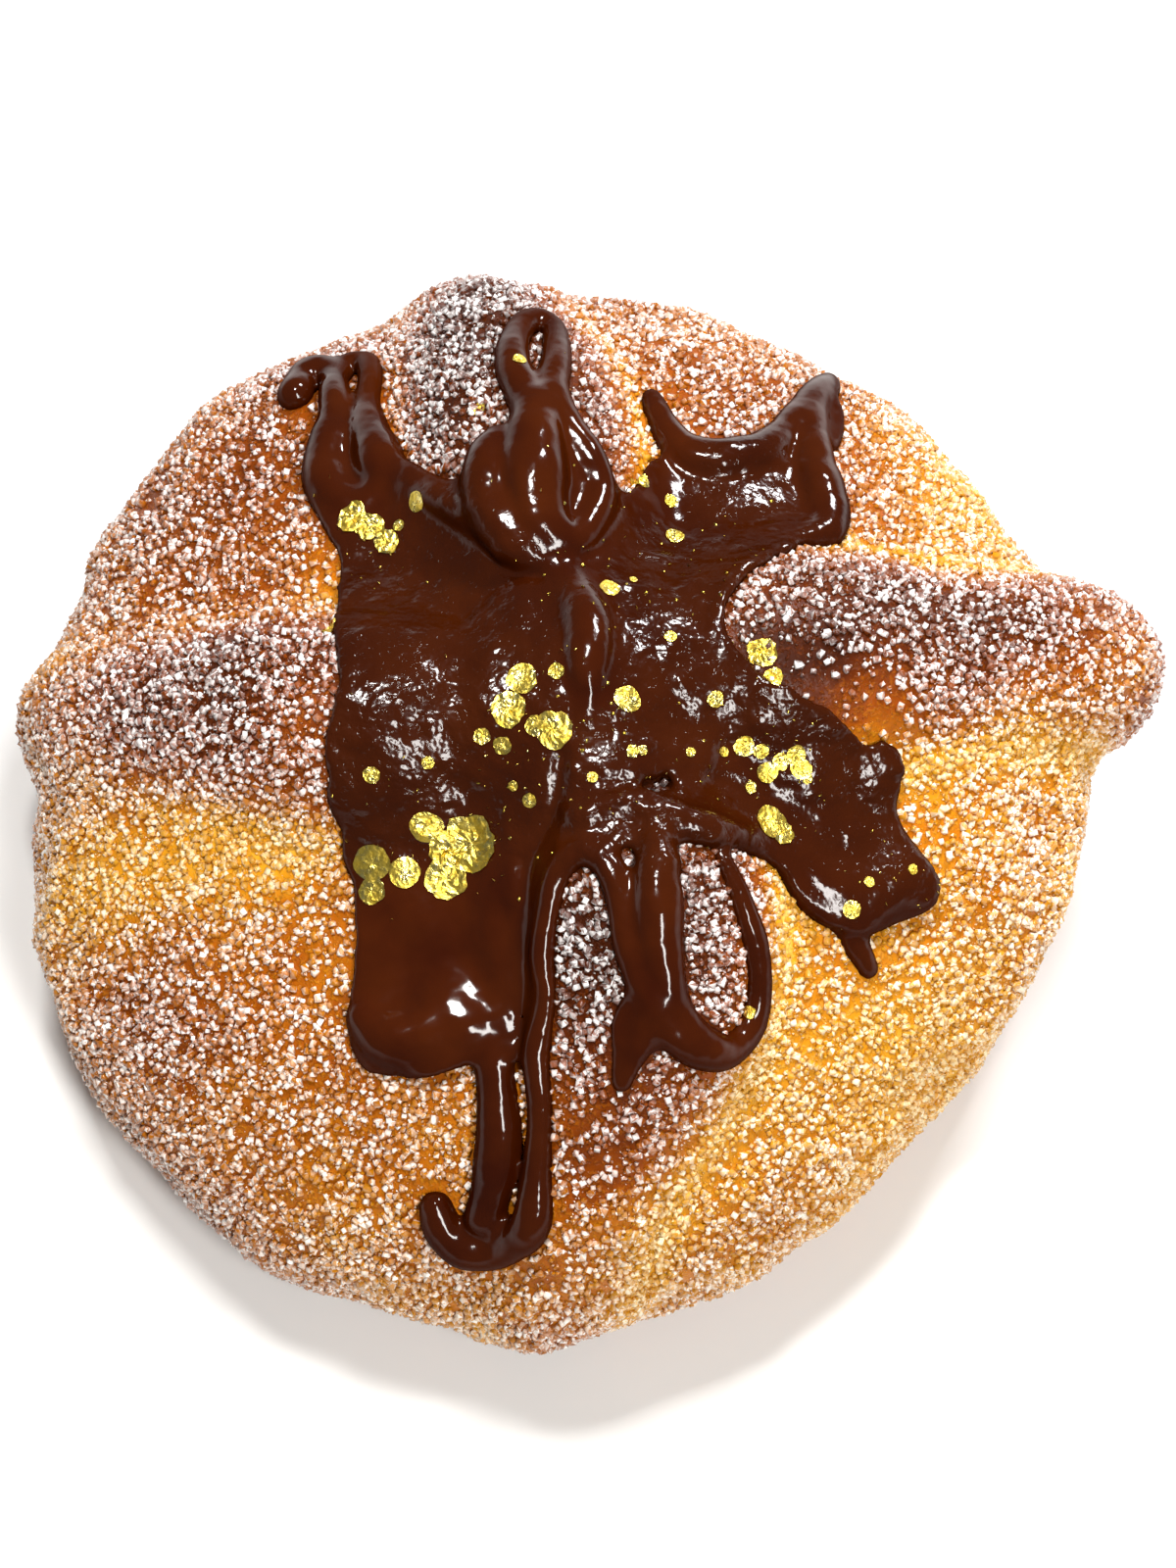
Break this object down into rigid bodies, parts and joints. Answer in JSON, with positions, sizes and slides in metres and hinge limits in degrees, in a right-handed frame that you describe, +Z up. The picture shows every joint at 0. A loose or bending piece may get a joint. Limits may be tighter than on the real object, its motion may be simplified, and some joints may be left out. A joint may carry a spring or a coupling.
{
  "type": "pan de muerto",
  "caption": "Round sugared sweet loaf with dough bones and a ball on top, draped with piped melted chocolate and flakes of gold leaf.",
  "frame": {"origin": "centre of the flat face that the loaf rests on", "axes": "+Z up through the ball at the crown, +X towards the largest bone end, +Y towards the looped end of the chocolate"},
  "size_m": [0.1184, 0.1133, 0.0552],
  "materials": {
    "crust": "baked egg-washed sweet bread crust, brown on top and golden in the creases, under coarse sugar",
    "chocolate": "melted dark chocolate, glossy, with sugar grains showing through where it is thin",
    "sugar": "clear to milky coarse sugar crystals",
    "gold_leaf": "crinkled edible gold leaf"
  },
  "bodies": {
    "root": {"bread": "crust", "chocolate": "chocolate"}
  },
  "joints": []
}
